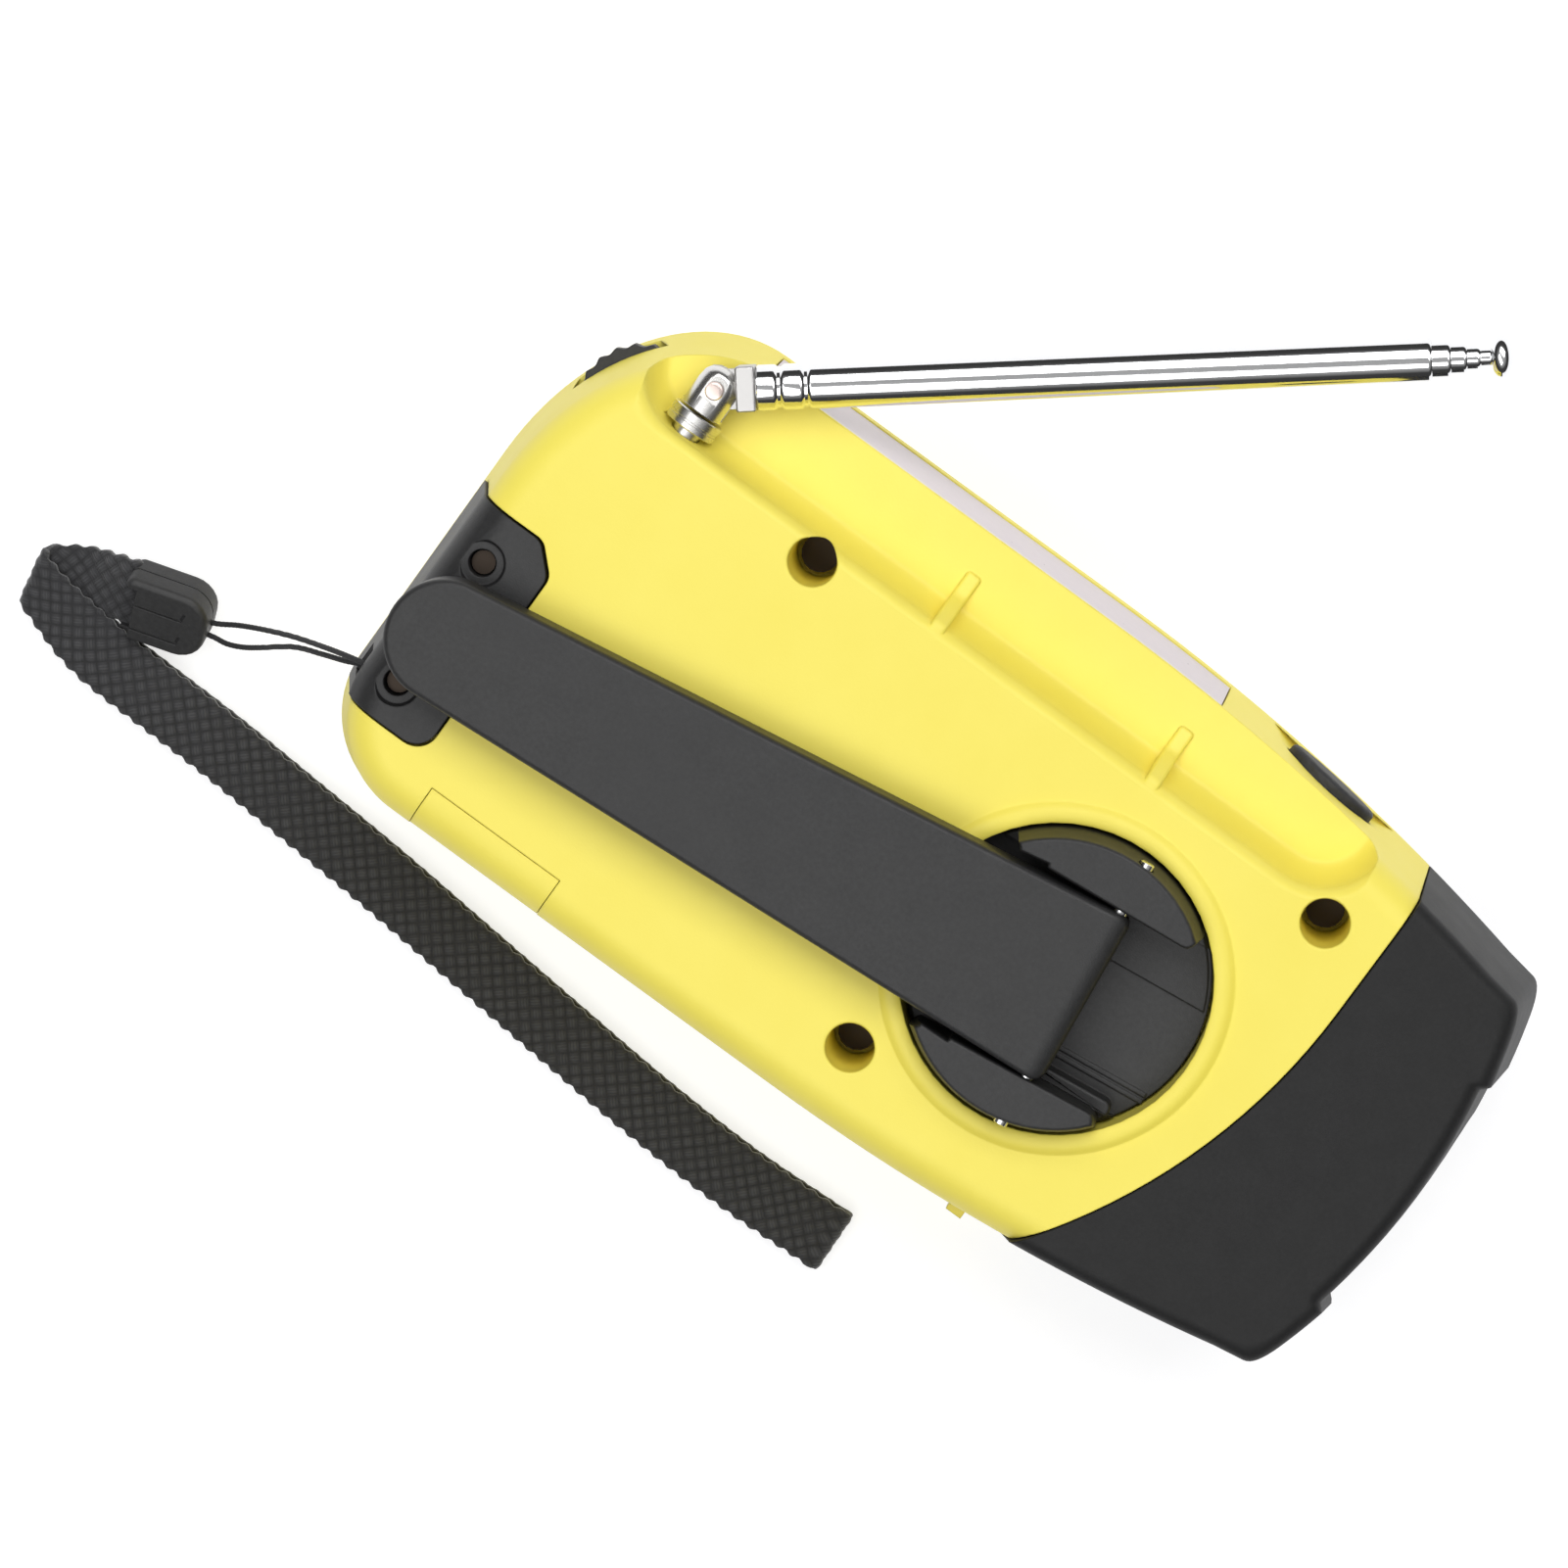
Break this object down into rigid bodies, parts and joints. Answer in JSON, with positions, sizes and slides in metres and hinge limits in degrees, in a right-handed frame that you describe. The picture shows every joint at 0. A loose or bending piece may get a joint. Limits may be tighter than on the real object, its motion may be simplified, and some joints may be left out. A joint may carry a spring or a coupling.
{
  "type": "hand-crank emergency radio",
  "caption": "Hand-crank emergency radio with folding crank, swung-out telescopic antenna, end lamp, side reading lamp, solar panel and braided wrist strap.",
  "frame": {"origin": "centre of the flat front face that the radio lies on", "axes": "+X from the strap end to the lamp end, +Y to the antenna side, +Z out of the back, up as it lies"},
  "size_m": [0.2048, 0.1622, 0.051],
  "materials": {
    "yellow_plastic": "satin moulded yellow",
    "black_plastic": "fine spark texture",
    "soft_black": "soft matte overmould",
    "chrome": "polished plating",
    "steel": "bright zinc",
    "clear_plastic": "clear, faintly frosted",
    "board_green": "solder-resist green",
    "gear_white": "natural acetal",
    "cell_blue": "heat-shrink sleeve",
    "solar_blue": "glossy cell under resin",
    "ferrite_grey": "sintered, matte",
    "copper": "enamelled wire",
    "pointer_red": "matte",
    "webbing_black": "coarse flat braid"
  },
  "bodies": {
    "case": {"rear_case": "yellow_plastic", "front_case": "yellow_plastic", "end_bumper": "soft_black", "strap_bracket": "black_plastic", "bracket_screw_1": "steel", "bracket_screw_2": "steel", "case_screw_1": "steel", "case_screw_2": "steel", "case_screw_3": "steel", "antenna_stud": "chrome", "reading_window": "clear_plastic", "reading_led_board": "board_green", "alarm_switch": "black_plastic", "lamp_slide_switch": "steel", "port_board": "board_green", "usb_socket": "steel", "micro_socket": "steel", "tuning_capacitor": "clear_plastic", "dial_window": "clear_plastic", "solar_panel": "solar_blue", "speaker": "black_plastic", "main_board": "board_green", "battery_cell": "cell_blue", "ferrite_rod": "ferrite_grey", "ferrite_coil": "copper", "lamp_reflector": "chrome", "lamp_lens": "clear_plastic", "lamp_led_board": "board_green", "gear_plate": "steel", "gear_axle_1": "steel", "gear_axle_2": "steel", "generator_body": "steel", "strap_cord": "webbing_black", "cord_clip": "black_plastic", "wrist_strap": "webbing_black"},
    "crank": {"crank_hub": "black_plastic", "hinge_pin": "steel", "drive_gear": "gear_white"},
    "crank_arm": {"crank_arm": "black_plastic"},
    "grip_post": {"grip_post": "steel"},
    "grip_sleeve": {"grip_sleeve": "black_plastic"},
    "train_gear_1": {"train_gear_1": "gear_white"},
    "train_gear_2": {"train_gear_2": "gear_white"},
    "generator_rotor": {"generator_rotor": "steel"},
    "antenna_swivel": {"antenna_clevis": "chrome", "antenna_pivot": "steel"},
    "antenna_rod": {"antenna_tang": "chrome", "antenna_tube_1": "chrome"},
    "antenna_tube_2": {"antenna_tube_2": "chrome"},
    "antenna_tube_3": {"antenna_tube_3": "chrome"},
    "antenna_tube_4": {"antenna_tube_4": "chrome"},
    "antenna_tip": {"antenna_tip": "chrome"},
    "alarm_button": {"alarm_button": "black_plastic"},
    "lamp_slide": {"lamp_slide": "yellow_plastic"},
    "port_cover": {"port_cover": "yellow_plastic"},
    "tuning_wheel": {"tuning_wheel": "black_plastic"},
    "dial_pointer": {"dial_pointer": "pointer_red"},
    "volume_knob": {"volume_knob": "black_plastic"},
    "band_slide": {"band_slide": "black_plastic"}
  },
  "joints": [
    {"name": "crank_spin", "type": "hinge", "parent": "case", "child": "crank", "pos_m": [0.0215, -0.0032, 0.04], "axis": [0, 0, 1], "continuous": true},
    {"name": "arm_fold", "type": "hinge", "parent": "crank", "child": "crank_arm", "pos_m": [0.02428, -0.00288, 0.0481], "axis": [-0.1149, 0.9934, 0], "range_deg": [0, 180]},
    {"name": "grip_fold", "type": "hinge", "parent": "crank_arm", "child": "grip_post", "pos_m": [-0.07025, -0.01382, 0.0477], "axis": [-0.1149, 0.9934, 0], "range_deg": [0, 90]},
    {"name": "grip_spin", "type": "hinge", "parent": "grip_post", "child": "grip_sleeve", "pos_m": [-0.05734, -0.01232, 0.0477], "axis": [0.9934, 0.1149, 0], "continuous": true},
    {"name": "train_1_spin", "type": "hinge", "parent": "case", "child": "train_gear_1", "pos_m": [0.03723, -0.01421, 0.024], "axis": [0, 0, 1], "continuous": true},
    {"name": "train_2_spin", "type": "hinge", "parent": "case", "child": "train_gear_2", "pos_m": [0.0389, 0.00491, 0.019], "axis": [0, 0, 1], "continuous": true},
    {"name": "rotor_spin", "type": "hinge", "parent": "case", "child": "generator_rotor", "pos_m": [0.02227, 0.01451, 0.015], "axis": [0, 0, 1], "continuous": true},
    {"name": "antenna_swivel", "type": "hinge", "parent": "case", "child": "antenna_swivel", "pos_m": [-0.0604, 0.033, 0.0392], "axis": [0, -1, 0], "range_deg": [0, 180]},
    {"name": "antenna_tilt", "type": "hinge", "parent": "antenna_swivel", "child": "antenna_rod", "pos_m": [-0.0604, 0.033, 0.0392], "axis": [0, 0, 1], "range_deg": [-38.4, 51.6]},
    {"name": "section_2_slide", "type": "slide", "parent": "antenna_rod", "child": "antenna_tube_2", "axis": [0.7837, 0.6211, 0], "range_m": [0, 0.0754]},
    {"name": "section_3_slide", "type": "slide", "parent": "antenna_tube_2", "child": "antenna_tube_3", "axis": [0.7837, 0.6211, 0], "range_m": [0, 0.0754]},
    {"name": "section_4_slide", "type": "slide", "parent": "antenna_tube_3", "child": "antenna_tube_4", "axis": [0.7837, 0.6211, 0], "range_m": [0, 0.0754]},
    {"name": "tip_slide", "type": "slide", "parent": "antenna_tube_4", "child": "antenna_tip", "axis": [0.7837, 0.6211, 0], "range_m": [0, 0.0754]},
    {"name": "alarm_press", "type": "slide", "parent": "case", "child": "alarm_button", "axis": [-0.1138, -0.9935, 0], "range_m": [0, 0.001], "stiffness_N_per_m": 600, "springref_m": -0.0006},
    {"name": "lamp_switch_slide", "type": "slide", "parent": "case", "child": "lamp_slide", "axis": [1, 0, 0], "range_m": [-0.002, 0.002]},
    {"name": "port_cover_hinge", "type": "hinge", "parent": "case", "child": "port_cover", "pos_m": [-0.0496, -0.0398, 0.025], "axis": [1, 0, 0], "range_deg": [0, 100]},
    {"name": "tuning_spin", "type": "hinge", "parent": "case", "child": "tuning_wheel", "pos_m": [-0.0675, 0.0236, 0.0266], "axis": [0, 0, 1], "range_deg": [0, 300]},
    {"name": "pointer_slide", "type": "slide", "parent": "case", "child": "dial_pointer", "axis": [0, 1, 0], "range_m": [0, 0.0362]},
    {"name": "volume_spin", "type": "hinge", "parent": "case", "child": "volume_knob", "pos_m": [-0.062, -0.024, 0.003], "axis": [0, 0, 1], "range_deg": [0, 280]},
    {"name": "band_switch_slide", "type": "slide", "parent": "case", "child": "band_slide", "axis": [1, 0, 0], "range_m": [-0.003, 0.003]}
  ],
  "couplings": [
    {"joint": "grip_fold", "follows": "arm_fold", "ratio": 0.5},
    {"joint": "train_1_spin", "follows": "crank_spin", "ratio": -3},
    {"joint": "train_2_spin", "follows": "crank_spin", "ratio": 9},
    {"joint": "rotor_spin", "follows": "crank_spin", "ratio": -27},
    {"joint": "pointer_slide", "follows": "tuning_spin", "m_per_rad": 0.006875}
  ]
}
